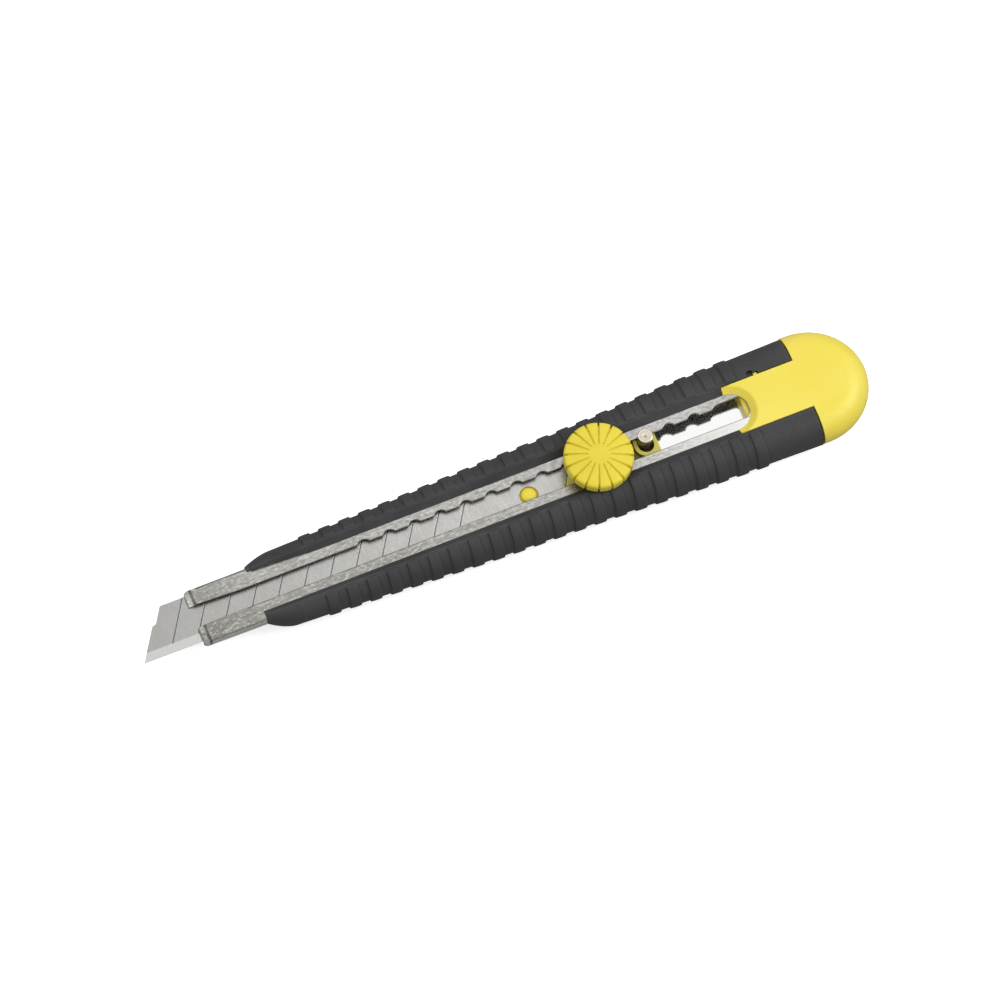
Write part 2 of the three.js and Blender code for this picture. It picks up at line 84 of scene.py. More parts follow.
# ---------------------------------------------------------------- driving dimensions, in millimetres
SHEET = 0.55
CHANNEL_BEND = 0.7
PRESSED_LENGTH = 1.5  # the rails' front ends are pressed down over this length
PRESSED_DROP = 0.95
PRONG_CORNER = 0.8  # radius of the prongs' outer front corners
SLOT_HALF = 1.85
SLOT_END_X = 42.6
SLOT_CORNER = 1.2
NOTCH_COUNT = 15
NOTCH_PITCH = 4.9
NOTCH_LAST_X = PIN_X + 3 * NOTCH_PITCH
NOTCH_RADIUS = 1.42
NOTCH_DEPTH = 0.64

SHOULDER_X = -47.2
SIDE_ROUND = 4.2
NOSE_SIDE_ROUND = 1.4
HALF_WIDTHS = [(SHOULDER_X, 7.3), (-28, 7.85), (-6, 8.65), (10, 9.05), (36, 10.15), (56, 10.6)]
NOSE_HALF_WIDTH = 5.65
NOSE_RISE = 1.9  # how far the back has risen at the shoulder
NOSE_TIP_RISE = 3.0
NOSE_DIP = 0.7  # how far the top bends down over the nose
NOSE_DIP_LENGTH = 3.4
FLAT_FROM_X = -12
LIP_FRONT_LEFT_X = -51.4  # where the lip over the +Y rail starts
LIP_FRONT_RIGHT_X = -52.2
LIP_INNER_Y = 3.58
GROOVE_TOP_Y = 4.73
LIP_ROUND = 1.2
LIP_TAPER = 0.8  # what the lip over the +Y rail loses in width at the nose
NOSE_ROUND = 0.2
SEAM = 0.1
SEAT_GAP = 0.06
SEAT_HALF = CHANNEL_HALF + SEAT_GAP
GRIP_SIDE = 1.3  # thickness of the soft grips on the side and on the top
GRIP_TOP = 0.6
BEYOND = 80  # for cuts that run out past every end

RIB_COUNT = 22
RIB_PITCH = 3.879
RIB_WIDTH = 1.85
RIB_RAMP = 0.25
RIB_FIRST_X = -41.05

CAP_SEAT_X = 53.2
DOME_CENTRE_X = 54.4
CAP_WIDEST = 0.56  # height of the dome's widest line, as a share of its thickness
CAP_ROUND = 4.2
CAP_EDGE = 0.15  # radius of the cap's small edges
TONGUE_HALF = 4.73
TONGUE_BOTTOM = RAIL_TOP + SEAT_GAP
TAB_X = 45.6
TAB_LENGTH = 0.8
TAB_REACH = 5.25
PLUG_FRONT_X = 41.9
PLUG_HALF = 4.65
SNAP_SLOT_DEPTH = 8
SNAP_SLOT_HALF = 5.4
SNAP_SLOT_HEIGHTS = (1.5, 2.3)

SCORE_PITCH = 4.965
SCORE_COUNT = 12
SCORE_ANGLE = math.radians(57)
BEVEL_WIDTH = 1.6

WHEEL_PETALS = 16
WHEEL_RADIUS = wheel_high[1]
EYE_RADIUS = 1.9
HUB_RADIUS = 3.25
RIM_BOTTOM = 1.75  # heights of the wheel's rim above the rails
RIM_SIDE_TOP = 3.72
RIM_ROUND = 0.6
RIM_NOTCH = 0.45  # how deep the flutes cut into the rim's side, and over which length
RIM_NOTCH_LENGTH = 0.8
FLUTE_HALF_WIDTHS = (0.15, 0.24)  # at the eye and at the rim
FLUTE_DEPTHS = (0.2, 0.4)
PETAL_CROWN = 0.12


# ---------------------------------------------------------------- mesh helpers
def smoothstep(t):
    t = np.clip(t, 0, 1)
    return t * t * (3 - 2 * t)


def mix(a, b, t):
    return a + (b - a) * t


def mirrored(path):
    """A path of (y, z) points on the -Y side, running the other way."""
    return (path * (-1, 1))[::-1]


def skin(rings):
    """A closed skin over rings of points, each ring an (n, 3) array of the same length."""
    count = len(rings[0])
    points = np.vstack(rings)
    faces = []
    for start in range(0, count * (len(rings) - 1), count):
        for i in range(count):
            j = (i + 1) % count
            faces.append((start + i, start + j, start + j + count, start + i + count))
    faces.append(tuple(range(count))[::-1])
    faces.append(tuple(range(count * (len(rings) - 1), count * len(rings))))
    return points, faces


def solid(name, points, faces):
    """A mesh object in millimetres, with its faces turned outwards."""
    mesh = bpy.data.meshes.new(name)
    mesh.from_pydata(np.asarray(points, float).tolist(), [], faces)
    mesh.validate()
    piece = bpy.data.objects.new(name, mesh)
    bpy.context.scene.collection.objects.link(piece)
    if signed_volume(mesh) < 0:
        mesh.flip_normals()
    return piece


def signed_volume(mesh):
    mesh.calc_loop_triangles()
    corners = np.array([v.co for v in mesh.vertices])
    triangles = np.array([t.vertices for t in mesh.loop_triangles])
    a, b, c = (corners[triangles[:, i]] for i in range(3))
    return float(np.einsum("ij,ij->i", a, np.cross(b, c)).sum())


def prism(name, outline, low, high, plane="plan"):
    """A straight solid from an outline: in X and Y swept along Z, or in X and Z swept along Y."""
    outline = np.asarray(outline, float)
    rings = []
    for depth in (low, high):
        third = np.full(len(outline), depth)
        first, second = outline.T
        rings.append(np.column_stack((first, second, third) if plane == "plan" else (first, third, second)))
    return solid(name, *skin(rings))


def block(name, low, high):
    x0, y0, z0 = low
    x1, y1, z1 = high
    return prism(name, [(x0, y0), (x1, y0), (x1, y1), (x0, y1)], z0, z1)


def apply_modifiers(piece):
    depsgraph = bpy.context.evaluated_depsgraph_get()
    made = bpy.data.meshes.new_from_object(piece.evaluated_get(depsgraph), depsgraph=depsgraph)
    piece.modifiers.clear()
    piece.data = made


def carve(piece, *cutters, operation="DIFFERENCE"):
    """Cuts or joins solids exactly; the cutters are used up."""
    for cutter in cutters:
        modifier = piece.modifiers.new("carve", "BOOLEAN")
        modifier.object = cutter
        modifier.operation = operation
        modifier.solver = "EXACT"
    apply_modifiers(piece)
    for cutter in cutters:
        bpy.data.objects.remove(cutter)
    return piece


def ease_edges(piece, width, angle=35, segments=2):
    """Rounds the sharp edges a little, as a mould or a press leaves them."""
    modifier = piece.modifiers.new("edges", "BEVEL")
    modifier.width = width
    modifier.segments = segments
    modifier.limit_method = "ANGLE"
    modifier.angle_limit = math.radians(angle)
    modifier.miter_outer = "MITER_ARC"
    apply_modifiers(piece)
    return piece


def finish_piece(piece, material, slot, body, *nodes, sharp=32):
    """Turns a solid in millimetres into a piece of the knife that stands for CAD nodes."""
    mesh = piece.data
    mesh.transform(Matrix.Scale(MM, 4))
    mesh.shade_smooth()
    mesh.set_sharp_from_angle(angle=math.radians(sharp))
    mesh.materials.clear()
    mesh.materials.append(material)
    weighted = piece.modifiers.new("normals", "WEIGHTED_NORMAL")
    weighted.keep_sharp = True
    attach(piece, body)
    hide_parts(*nodes)
    return piece


# ---------------------------------------------------------------- materials
def linear(red, green, blue):
    """An sRGB colour, given in steps of 255, as a linear colour."""
    shares = [c / 255 for c in (red, green, blue)]
    return (*[s / 12.92 if s <= 0.04045 else ((s + 0.055) / 1.055) ** 2.4 for s in shares], 1.0)


class Finish:
    """A procedural material: a Principled shader and short ways to build what feeds it."""

    def __init__(self, name, metallic=0.0, specular=0.5):
        self.material = bpy.data.materials.new(name)
        self.material.use_nodes = True
        self.tree = self.material.node_tree
        self.shader = self.tree.nodes["Principled BSDF"]
        self.shader.inputs["Metallic"].default_value = metallic
        self.shader.inputs["Specular IOR Level"].default_value = specular
        coordinates = self.add("ShaderNodeTexCoord")
        self.position = coordinates.outputs["Object"]
        self.normal = coordinates.outputs["Normal"]

    def add(self, kind, inputs=None, **settings):
        node = self.tree.nodes.new(kind)
        for key, value in settings.items():
            setattr(node, key, value)
        for key, value in (inputs or {}).items():
            self.feed(node.inputs[key], value)
        return node

    def feed(self, socket, value):
        if isinstance(value, bpy.types.NodeSocket):
            self.tree.links.new(value, socket)
        else:
            socket.default_value = value

    def noise(self, size, detail=3.0, stretch=(1, 1, 1), offset=0.0):
        """Noise with patches of about size millimetres, longer along an axis by its stretch."""
        scale = [1 / (size * MM * s) for s in stretch]
        mapping = self.add("ShaderNodeMapping", {"Vector": self.position, "Scale": scale})
        mapping.inputs["Location"].default_value = (offset, offset, offset)
        inputs = {"Vector": mapping.outputs[0], "Scale": 1.0, "Detail": detail}
        return self.add("ShaderNodeTexNoise", inputs).outputs["Fac"]

    def remap(self, value, low, high, to_low=0.0, to_high=1.0):
        inputs = {"Value": value, "From Min": low, "From Max": high, "To Min": to_low, "To Max": to_high}
        return self.add("ShaderNodeMapRange", inputs).outputs["Result"]

    def parts(self, vector):
        """The X, Y and Z of a vector."""
        return self.add("ShaderNodeSeparateXYZ", {"Vector": vector}).outputs[:]

    def place(self):
        """The X, Y and Z of the shaded point, in millimetres."""
        return [self.maths("DIVIDE", part, MM) for part in self.parts(self.position)]

    def maths(self, operation, first, second=0.0):
        return self.add("ShaderNodeMath", {0: first, 1: second}, operation=operation).outputs[0]

    def off(self, value, place):
        """How far a value is from a place, on either side."""
        return self.maths("ABSOLUTE", self.maths("SUBTRACT", value, place))

    def tint(self, factor, first, second, kind="MIX"):
        inputs = {"Fac": factor, "Color1": first, "Color2": second}
        return self.add("ShaderNodeMixRGB", inputs, blend_type=kind).outputs["Color"]

    def concave(self, low=0.42, high=0.5):
        """1 in corners that look inwards, 0 on open surfaces and outer edges."""
        pointiness = self.add("ShaderNodeNewGeometry").outputs["Pointiness"]
        return self.remap(pointiness, low, high, 1.0, 0.0)

    def worn_edge(self, low=0.52, high=0.6):
        """1 on outer edges, 0 elsewhere."""
        pointiness = self.add("ShaderNodeNewGeometry").outputs["Pointiness"]
        return self.remap(pointiness, low, high)

    def colour(self, value):
        self.feed(self.shader.inputs["Base Color"], value)

    def roughness(self, value):
        self.feed(self.shader.inputs["Roughness"], value)

    def bump(self, *layers):
        """Each layer is (height texture, depth in millimetres)."""
        normal = None
        for height, depth in layers:
            node = self.add("ShaderNodeBump", {"Height": height, "Distance": depth * MM, "Strength": 1.0})
            if normal is not None:
                self.feed(node.inputs["Normal"], normal)
            normal = node.outputs["Normal"]
        self.feed(self.shader.inputs["Normal"], normal)


def dark_plastic(name, light, dark, rough, grain, grain_depth):
    """Dark matte plastic or rubber with a spark-eroded grain, faint clouding, paler worn edges and painted
    shade in inward corners.
    """
    finish = Finish(name, specular=0.35)
    cloud = finish.noise(7, detail=4)
    speck = finish.noise(0.3, detail=2, offset=3)
    base = finish.tint(finish.remap(cloud, 0.35, 0.65), dark, light)
    base = finish.tint(finish.remap(speck, 0.6, 0.75, 0.0, 0.3), base, linear(84, 82, 86))
    # wear: paler worn outer edges
    wear_and_shade = finish.maths("MULTIPLY", finish.worn_edge(), finish.remap(cloud, 0.3, 0.7, 0.05, 0.2))
    base = finish.tint(wear_and_shade, base, linear(98, 96, 99))
    # painted shade: inward corners and creases darkened
    base = finish.tint(finish.maths("MULTIPLY", finish.concave(), 0.75), base, linear(18, 17, 20))
    finish.colour(base)
    finish.roughness(finish.remap(finish.noise(0.5, offset=7), 0.3, 0.7, rough - 0.08, rough + 0.1))
    finish.bump((finish.noise(grain, detail=2, offset=1), grain_depth), (finish.noise(1.6, offset=5), 0.012))
    return finish.material


def bright_steel(name, light, dark, rough, along, streak, more=None):
    """Bright steel with faint streaks along one axis, a fine sparkle and a few dull spots."""
    finish = Finish(name, metallic=1.0)
    streaks = finish.noise(streak, detail=4, stretch=along)
    sparkle = finish.noise(0.2, detail=3, offset=4)
    patches = finish.noise(5, detail=3, offset=9)
    base = finish.tint(finish.remap(streaks, 0.3, 0.7), dark, light)
    base = finish.tint(finish.remap(sparkle, 0.3, 0.5, 0.4, 0.0), base, dark)
    base = finish.tint(finish.remap(sparkle, 0.58, 0.72, 0.0, 0.5), base, linear(242, 242, 240))
    base = finish.tint(finish.remap(patches, 0.45, 0.7, 0.0, 0.25), base, linear(222, 220, 212), "MULTIPLY")
    scatter = finish.remap(sparkle, 0.3, 0.7, rough - 0.06, rough + 0.08)
    if more:
        base, scatter = more(finish, base, scatter)
    finish.colour(base)
    finish.roughness(scatter)
    finish.bump((streaks, 0.002), (sparkle, 0.003))
    return finish.material


def channel_shades(finish, base, scatter):
    """The inside is left as rolled and brighter; painted shade darkens the slot's cut walls, painted dark
    reflections the bends and front ends of the tips, a painted shadow line runs along the slot's straight
    edge and a painted highlight lightens the outer side walls.

    The outside is painted greyer towards the tips as shade, most of all beside the straight edge of the slot,
    and darker still at the tips; beside that edge it is painted whiter towards the back as a highlight.
    """
    x, y, z = finish.place()
    from_axis = finish.off(y, 0.0)
    upright = finish.remap(finish.off(finish.parts(finish.normal)[2], 0.0), 0.3, 0.75, 1.0, 0.0)
    # painted shade: greyer towards the tips, most of all on the -Y rail
    wear_and_shade = finish.remap(x, -30, 24, 1.0, 0.0)
    side = finish.remap(y, -2, 2, 0.8, 0.4)
    base = finish.tint(finish.maths("MULTIPLY", wear_and_shade, side), base, linear(203, 202, 198), "MULTIPLY")
    # painted shade: darker still at the tips
    tip_shade = finish.remap(x, -60, -51, 0.3, 0.0)
    base = finish.tint(tip_shade, base, linear(150, 147, 142), "MULTIPLY")
    speck = finish.noise(0.3, detail=4, stretch=(2.5, 1, 1), offset=12)
    base = finish.tint(finish.remap(speck, 0.52, 0.68, 0.0, 0.5), base, linear(122, 120, 116))
    base = finish.tint(finish.remap(speck, 0.36, 0.46, 0.4, 0.0), base, linear(236, 236, 233))
    # painted highlight: whiter towards the back beside the slot's straight edge
    back_highlight = finish.maths("MULTIPLY", finish.remap(x, 22, 40), finish.remap(y, -2, 0, 0.8, 0.0))
    base = finish.tint(back_highlight, base, linear(246, 246, 244))
    # painted highlight: the outer side walls lighter
    outer = finish.remap(from_axis, CHANNEL_HALF - 0.35, CHANNEL_HALF - 0.2, 0.0, 0.7)
    base = finish.tint(finish.maths("MULTIPLY", upright, outer), base, linear(244, 243, 240))
    # painted shadow: a dark line along the slot's straight edge
    slot_edge_shadow = finish.remap(finish.off(y, -SLOT_HALF - 0.05), 0.04, 0.09, 0.7, 0.0)
    base = finish.tint(slot_edge_shadow, base, linear(70, 70, 68))
    # painted shade: the slot's cut walls dark
    near_slot = finish.remap(from_axis, 2.9, 3.1, 1.0, 0.0)
    in_sheet = finish.remap(z, RAIL_TOP - SHEET - 0.1, RAIL_TOP - SHEET, 0.0, 0.85)
    cut_wall_shade = finish.maths("MULTIPLY", finish.maths("MULTIPLY", upright, near_slot), in_sheet)
    base = finish.tint(cut_wall_shade, base, linear(58, 57, 55))
    # painted reflection: dark bands at the bends behind the pressed tips and at the tips' front ends
    bend = finish.remap(finish.off(x, channel_low[0] + PRESSED_LENGTH - 0.25), 0.12, 0.38, 0.8, 0.0)
    base = finish.tint(bend, base, linear(66, 64, 62))
    tip = finish.remap(x, channel_low[0] + 0.1, channel_low[0] + 0.25, 0.6, 0.0)
    base = finish.tint(tip, base, linear(80, 78, 76))
    floor = channel_low[2] + SHEET
    inside = finish.remap(z, floor + 0.05, floor + 0.1, 1.0, 0.0)
    base = finish.tint(inside, base, linear(250, 250, 249))
    return base, finish.tint(inside, scatter, (0.09, 0.09, 0.09, 1))


def ground_blade(finish, base, scatter):
    """Painted shade as thin dark lines in the score grooves where the segments snap off, greyer steel towards
    the tip, and a finely ground, brighter cutting bevel.
    """
    x, y, _ = finish.place()
    tip, edge = blade_low[:2]
    sideways = finish.maths("MULTIPLY", finish.maths("SUBTRACT", y, edge), 1 / math.tan(SCORE_ANGLE))
    from_tip = finish.maths("SUBTRACT", finish.maths("SUBTRACT", x, tip), sideways)
    segment = finish.maths("DIVIDE", from_tip, SCORE_PITCH)
    # painted shade: thin dark lines in the score grooves
    line = finish.remap(finish.off(segment, finish.maths("ROUND", segment)), 0.016, 0.032, 0.8, 0.0)
    line = finish.maths("MULTIPLY", line, finish.maths("LESS_THAN", segment, SCORE_COUNT + 0.5))
    # greyer towards the tip
    base = finish.tint(finish.remap(x, tip, tip + 70, 0.6, 0.0), base, linear(152, 151, 148))
    bevel = finish.remap(y, edge + BEVEL_WIDTH, edge + BEVEL_WIDTH + 0.1, 0.9, 0.0)
    base = finish.tint(bevel, base, linear(207, 208, 205))
    line = finish.maths("MULTIPLY", line, finish.maths("SUBTRACT", 1.0, bevel))
    return finish.tint(line, base, linear(70, 70, 70)), scatter


def slider_shades(finish, base):
    """Painted shade makes the slider darker and browner down in its well, and painted light makes its peg a
    clearer yellow.
    """
    x, _, z = finish.place()
    # painted shade: darker and browner down in the well
    depth = finish.remap(z, RAIL_TOP - 1.4, RAIL_TOP - 0.8, 1.0, 0.0)
    base = finish.tint(depth, base, linear(136, 116, 78), "MULTIPLY")
    # painted light: the peg a clearer yellow
    return finish.tint(finish.remap(x, 2, 3, 1.0, 0.0), base, linear(230, 211, 70))


def moulded_plastic(name, light, deep, rough, more=None):
    """Bright moulded plastic: painted shade as deeper colour in the grooves and inward corners, faint flow
    marks and a fine satin texture.
    """
    finish = Finish(name, specular=0.4)
    flow = finish.noise(6, detail=3, stretch=(2, 1, 1))
    fine = finish.noise(0.22, detail=2, offset=2)
    base = finish.tint(finish.remap(flow, 0.35, 0.65, 0.0, 0.35), light, deep)
    # painted shade: deeper colour in grooves and inward corners
    base = finish.tint(finish.maths("MULTIPLY", finish.concave(0.40, 0.495), 0.8), base, deep)
    base = finish.tint(finish.remap(fine, 0.64, 0.8, 0.0, 0.15), base, linear(255, 246, 170))
    if more:
        base = more(finish, base)
    finish.colour(base)
    finish.roughness(finish.remap(finish.noise(1.1, offset=6), 0.3, 0.7, rough - 0.06, rough + 0.08))
    finish.bump((fine, 0.004), (flow, 0.02))
    finish.shader.inputs["Subsurface Weight"].default_value = 0.1
    finish.shader.inputs["Subsurface Radius"].default_value = (1.0, 0.7, 0.2)
    finish.shader.inputs["Subsurface Scale"].default_value = 0.5 * MM
    return finish.material


def turned_metal(name, light, dark, rough, axis, dark_reflection_below=0.0):
    """Metal turned in a lathe about a vertical axis, given as (x, y): fine rings over a soft cloud.

    Below the height that the last argument gives, the metal is painted dark brown and less metallic, a
    painted reflection of its dark surroundings.
    """
    finish = Finish(name, metallic=1.0)
    x, y, z = finish.place()
    squares = [finish.maths("POWER", finish.off(value, middle), 2.0) for value, middle in zip((x, y), axis)]
    radius = finish.maths("SQRT", finish.maths("ADD", *squares))
    across, up = finish.maths("MULTIPLY", radius, 12.0), finish.maths("MULTIPLY", z, 9.0)
    ring_at = finish.add("ShaderNodeCombineXYZ", {"X": across, "Y": 0.0, "Z": up}).outputs[0]
    inputs = {"Vector": ring_at, "Scale": 1.0, "Detail": 2.0}
    rings = finish.add("ShaderNodeTexNoise", inputs).outputs["Fac"]
    cloud = finish.noise(0.8, offset=2)
    base = finish.tint(finish.remap(rings, 0.35, 0.65), dark, light)
    base = finish.tint(finish.remap(cloud, 0.5, 0.7, 0.0, 0.3), base, linear(176, 160, 130))
    # painted reflection: dark brown and less metallic below the given height
    dull = finish.remap(z, dark_reflection_below - 0.06, dark_reflection_below, 0.97, 0.0)
    finish.colour(finish.tint(dull, base, linear(96, 84, 66)))
    finish.feed(finish.shader.inputs["Metallic"], finish.remap(dull, 0.0, 1.0, 1.0, 0.3))
    finish.roughness(finish.remap(cloud, 0.3, 0.7, rough - 0.05, rough + 0.08))
    finish.bump((rings, 0.004))
    return finish.material


soft_grip = dark_plastic("soft_grip", linear(60, 60, 61), linear(54, 54, 55), 0.62, 0.13, 0.012)
black_moulding = dark_plastic("black_moulding", linear(57, 56, 58), linear(51, 50, 52), 0.5, 0.2, 0.006)
channel_steel = bright_steel(
    "stainless_channel", linear(208, 207, 203), linear(176, 175, 170), 0.3, (12, 1, 1), 0.3, channel_shades
)
blade_steel = bright_steel(
    "blade_steel", linear(206, 205, 202), linear(190, 189, 185), 0.3, (1, 8, 1), 0.25, ground_blade
)
cap_yellow = moulded_plastic("yellow_cap", linear(237, 219, 92), linear(228, 206, 40), 0.36)
wheel_yellow = moulded_plastic("yellow_wheel", linear(229, 212, 62), linear(200, 172, 30), 0.4)
slider_yellow = moulded_plastic(
    "yellow_slider", linear(214, 206, 98), linear(172, 162, 56), 0.45, slider_shades
)
pin_steel = turned_metal(
    "turned_steel", linear(240, 234, 218), linear(200, 192, 172), 0.16, (PIN_X, PIN_Y), pin_high[2] - 0.08
)
brass = turned_metal("brass", linear(214, 178, 92), linear(168, 130, 56), 0.3, (WHEEL_X, 0))
spring_steel = bright_steel(
    "spring_steel", linear(132, 134, 140), linear(96, 98, 104), 0.3, (12, 1, 1), 0.2
)
plated_steel = bright_steel(
    "plated_steel", linear(196, 198, 202), linear(160, 162, 166), 0.32, (1, 4, 1), 0.2
)


# ---------------------------------------------------------------- the handle's outer form
def smooth_curve(points):
    """A function through (x, y) points with even slopes at them."""
    xs, ys = np.array(points, float).T
    slopes = np.gradient(ys, xs)

    def at(x):
        i = int(np.clip(np.searchsorted(xs, x) - 1, 0, len(xs) - 2))
        width = xs[i + 1] - xs[i]
        t = np.clip((x - xs[i]) / width, 0, 1)
        rise = (1 + 2 * t) * (1 - t) ** 2 * ys[i] + t * t * (3 - 2 * t) * ys[i + 1]
        return rise + width * (t * (1 - t) ** 2 * slopes[i] + t * t * (t - 1) * slopes[i + 1])

    return at


body_half_width = smooth_curve(HALF_WIDTHS)


def half_width(x):
    """Half the handle's width without its ribs."""
    if x >= SHOULDER_X:
        return body_half_width(x)
    across = (SHOULDER_X - x) / (SHOULDER_X - NOSE_X)
    return NOSE_HALF_WIDTH + (HALF_WIDTHS[0][1] - NOSE_HALF_WIDTH) * (1 - max(0, across) ** 1.5)


def back_height(x):
    """Height of the handle's back, which is flat behind and rises towards the nose."""
    rise = NOSE_RISE * max(0, FLAT_FROM_X - x) / (FLAT_FROM_X - SHOULDER_X)
    nose = max(0, SHOULDER_X - x) / (SHOULDER_X - NOSE_X)
    return rise + NOSE_TIP_RISE * nose**2


def side_round(x):
    """How far the rounded side reaches in from the widest line; the nose is fuller than the rest."""
    return mix(NOSE_SIDE_ROUND, SIDE_ROUND, float(np.clip((x - NOSE_X) / (SHOULDER_X - NOSE_X), 0, 1)))


def lip_top(x):
    """Height of the lips' top face; it bends down over the nose."""
    return TOP_FACE - NOSE_DIP * np.clip((NOSE_X + NOSE_DIP_LENGTH - x) / NOSE_DIP_LENGTH, 0, 1) ** 2


def side_path(x, inner_y, inset=0.0, top_inset=None, count=60):
    """The handle's outline on its +Y side, from inner_y on the top round to inner_y on the back."""
    top = lip_top(x) - (inset if top_inset is None else top_inset)
    bottom = back_height(x) + inset
    angle = np.linspace(math.pi / 2, -math.pi / 2, 121)
    round_y = side_round(x)
    y = half_width(x) - round_y + (round_y - inset) * np.cos(angle)
    z = (top + bottom) / 2 + (top - bottom) / 2 * np.sin(angle)
    path = np.vstack(([0, top], np.column_stack((y, z)), [0, bottom]))
    length = np.concatenate(([0], np.cumsum(np.hypot(*np.diff(path, axis=0).T))))
    widest = int(np.argmax(path[:, 0]))
    start = np.interp(inner_y, path[: widest + 1, 0], length[: widest + 1])
    end = np.interp(-inner_y, -path[widest:, 0], length[widest:])
    at = np.linspace(start, end, count)
    return np.column_stack((np.interp(at, length, path[:, 0]), np.interp(at, length, path[:, 1])))


def at_station(x, section):
    """A section of (y, z) points, placed at x."""
    return np.column_stack((np.full(len(section), x), section))


# ---------------------------------------------------------------- soft grips
def rib_stations():
    """(x, height) along a grip: each rib rises and falls over a soft ramp and is a little crowned."""
    stations = []
    for i in range(RIB_COUNT):
        start = RIB_FIRST_X + i * RIB_PITCH
        end = start + RIB_WIDTH
        for share in (0.0, 0.12, 0.3, 0.5, 0.7, 0.88, 1.0):
            stations.append((start - RIB_RAMP * (1 - share), RIB_HEIGHT * 0.92 * smoothstep(share)))
        for share in (0.2, 0.4, 0.6, 0.8):
            crown = 0.08 * (1 - (2 * share - 1) ** 2)
            stations.append((mix(start, end, share), RIB_HEIGHT * (0.92 + crown)))
        for share in (0.0, 0.12, 0.3, 0.5, 0.7, 0.88, 1.0):
            stations.append((end + RIB_RAMP * share, RIB_HEIGHT * 0.92 * smoothstep(1 - share)))
        valley = end + RIB_RAMP
        for share in (0.3, 0.6):
            stations.append((mix(valley, valley + RIB_PITCH - RIB_WIDTH - 2 * RIB_RAMP, share), 0.0))
    front = GRIP_FRONT_X - 0.8 * SEAM
    lead = [(x, 0.0) for x in np.linspace(front, RIB_FIRST_X - RIB_RAMP - 0.3, 8)]
    tail = [(x, 0.0) for x in np.linspace(stations[-1][0] + 0.5, BODY_BACK_X, 14)]
    return lead + stations + tail


def grip_ring(x, height):
    """A grip's closed section on the +Y side, with its skin raised by height."""
    round_over, fade = 0.02, 0.55
    edge_y = GRIP_INNER_Y - 0.9 * SEAM
    outer = side_path(x, edge_y + round_over, -height)
    on_top = outer[:, 1] > TOP_FACE / 2
    outer[:, 1] -= on_top * height * (1 - smoothstep((outer[:, 0] - edge_y) / fade))
    outer[:, 1] = np.maximum(outer[:, 1], 0)
    inner = side_path(x, edge_y, GRIP_SIDE, GRIP_TOP, 28)
    bottom = (edge_y, outer[-1, 1] + round_over)
    top = (edge_y, outer[0, 1] - round_over)
    return at_station(x, np.vstack((outer, bottom, inner[::-1], top)))


def soft_grip_piece(name, side):
    rings = [grip_ring(x, height) * (1, side, 1) for x, height in rib_stations()]
    piece = solid(name, *skin(rings))
    if side > 0:
        carve(piece, *catch_room())
    return piece


def catch_room():
    """The hole that the end cap's catch sits in, and the way out of it under the grip's skin."""
    front, back = TAB_X - 1.2, TAB_X + TAB_LENGTH + 0.1
    inner, outer, corner = 4.6, 5.85, 0.25
    low, step_x = RAIL_TOP + 0.25, TAB_X + 0.02
    hole = [(front + corner, inner), (back, inner), (back, TAB_REACH + 0.1), (step_x, TAB_REACH + 0.1)]
    hole += [(step_x, outer - corner), (TAB_X - corner, outer), (front + corner, outer)]
    hole += [(front, outer - corner), (front, inner + corner)]
    exit_low = (TAB_X - 0.1, inner + 0.01, low + 0.01)
    exit_high = (BEYOND, TAB_REACH + 0.08, TOP_FACE - 0.3)
    return prism("catch_hole", hole, low, TOP_FACE + 1), block("way_out", exit_low, exit_high)


# ---------------------------------------------------------------- hard core
def handle_form(name, places, side_inset=0.0, top_inset=0.0):
    """The handle's whole outer form between places along X, drawn in on the sides and on the top."""
    rings = []
    for x in places:
        into_nose = np.clip((NOSE_X + NOSE_ROUND - x) / NOSE_ROUND, 0, 1)
        rounding = NOSE_ROUND * (1 - math.sqrt(1 - into_nose**2))
        half = side_path(x, 0.0, side_inset + rounding, top_inset + rounding, 90)
        rings.append(at_station(x, np.vstack((half, mirrored(half)[1:-1]))))
    return solid(name, *skin(rings))


def grip_room(side):
    """The room that a soft grip fills: outside the strip beside the rail, and outside the inner form."""
    near, far = sorted((side * (GRIP_INNER_Y - SEAM), side * BEYOND))
    room = block("grip_room", (GRIP_FRONT_X - SEAM, near, -1), (BODY_BACK_X + 1, far, TOP_FACE + 10))
    places = np.linspace(GRIP_FRONT_X - 1, BODY_BACK_X + 2, 40)
    return carve(room, handle_form("inner_form", places, GRIP_SIDE + SEAM, GRIP_TOP + SEAM))


def lip_taper():
    """What the lip over the +Y rail loses as it narrows towards the nose."""
    full_x = -39.0
    front_y = LIP_INNER_Y + LIP_TAPER
    outline = [(NOSE_X - 1, LIP_INNER_Y - 1), (full_x, LIP_INNER_Y - 1), (full_x, LIP_INNER_Y)]
    outline += [(LIP_FRONT_LEFT_X, front_y), (NOSE_X - 1, front_y)]
    return prism("lip_taper", outline, RAIL_TOP + SEAT_GAP / 2, TOP_FACE + 1)


def before_lip(side, front):
    """What is cut away over the rail in front of a lip, which leaves the lip a rounded end."""
    centre_x, centre_y = front + LIP_ROUND, LIP_INNER_Y - 0.1 + LIP_ROUND
    outline = [(NOSE_X - 1, -0.1), (centre_x, -0.1)]
    for a in np.linspace(math.pi / 2, 0, 12):
        outline.append((centre_x - LIP_ROUND * math.cos(a), centre_y - LIP_ROUND * math.sin(a)))
    outline += [(front, BEYOND), (NOSE_X - 1, BEYOND)]
    return prism("before_lip", np.array(outline) * (1, side), RAIL_TOP + 0.1, TOP_FACE + 1)


